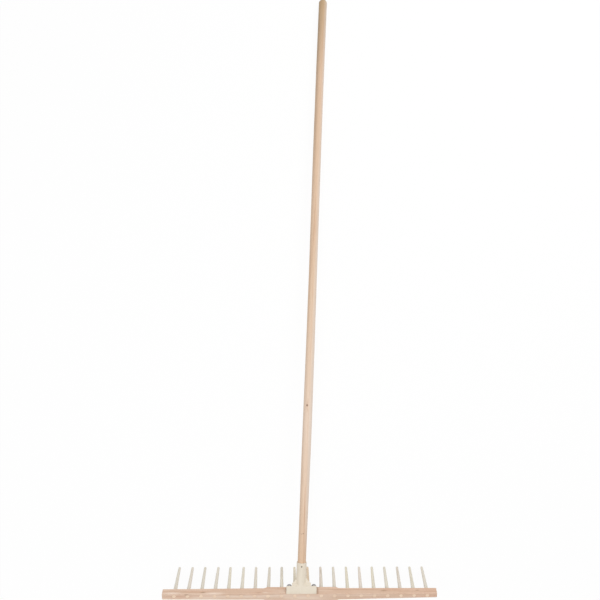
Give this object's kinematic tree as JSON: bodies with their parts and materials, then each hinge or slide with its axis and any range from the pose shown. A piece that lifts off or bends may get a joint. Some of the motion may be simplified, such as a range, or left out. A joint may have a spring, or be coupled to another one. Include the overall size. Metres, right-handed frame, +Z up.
{
  "type": "wooden rake",
  "caption": "Wide wooden hay rake: long round handle in a moulded plastic socket, bolted to a square beam with round pegs for teeth.",
  "frame": {"origin": "on the floor, at the middle of the bounding box of the rake as it lies on its tooth tips and the far end of its handle", "axes": "+X along the beam, to the right as seen from above with the handle pointing away; +Y towards the far end of the handle; +Z up"},
  "size_m": [0.825, 1.844, 0.1098],
  "materials": {
    "handle_wood": "sanded, unvarnished beech",
    "beam_wood": "planed, unvarnished beech",
    "tooth_wood": "turned, unvarnished pale hardwood",
    "socket_plastic": "moulded, satin",
    "fastener_steel": "zinc plated, dulled",
    "screw_steel": "dark zinc plated"
  },
  "bodies": {
    "root": {"handle": "handle_wood", "beam": "beam_wood", "socket": "socket_plastic", "socket_screw": "screw_steel", "tooth_01": "tooth_wood", "tooth_02": "tooth_wood", "tooth_03": "tooth_wood", "tooth_04": "tooth_wood", "tooth_05": "tooth_wood", "tooth_06": "tooth_wood", "tooth_07": "tooth_wood", "tooth_08": "tooth_wood", "tooth_09": "tooth_wood", "tooth_10": "tooth_wood", "tooth_11": "tooth_wood", "tooth_12": "tooth_wood", "tooth_13": "tooth_wood", "tooth_14": "tooth_wood", "tooth_15": "tooth_wood", "tooth_16": "tooth_wood", "tooth_17": "tooth_wood", "tooth_18": "tooth_wood", "tooth_19": "tooth_wood", "tooth_20": "tooth_wood", "bolt_left": "fastener_steel", "nut_left": "fastener_steel", "washer_top_left": "fastener_steel", "washer_back_left": "fastener_steel", "bolt_right": "fastener_steel", "nut_right": "fastener_steel", "washer_top_right": "fastener_steel", "washer_back_right": "fastener_steel"}
  },
  "joints": []
}
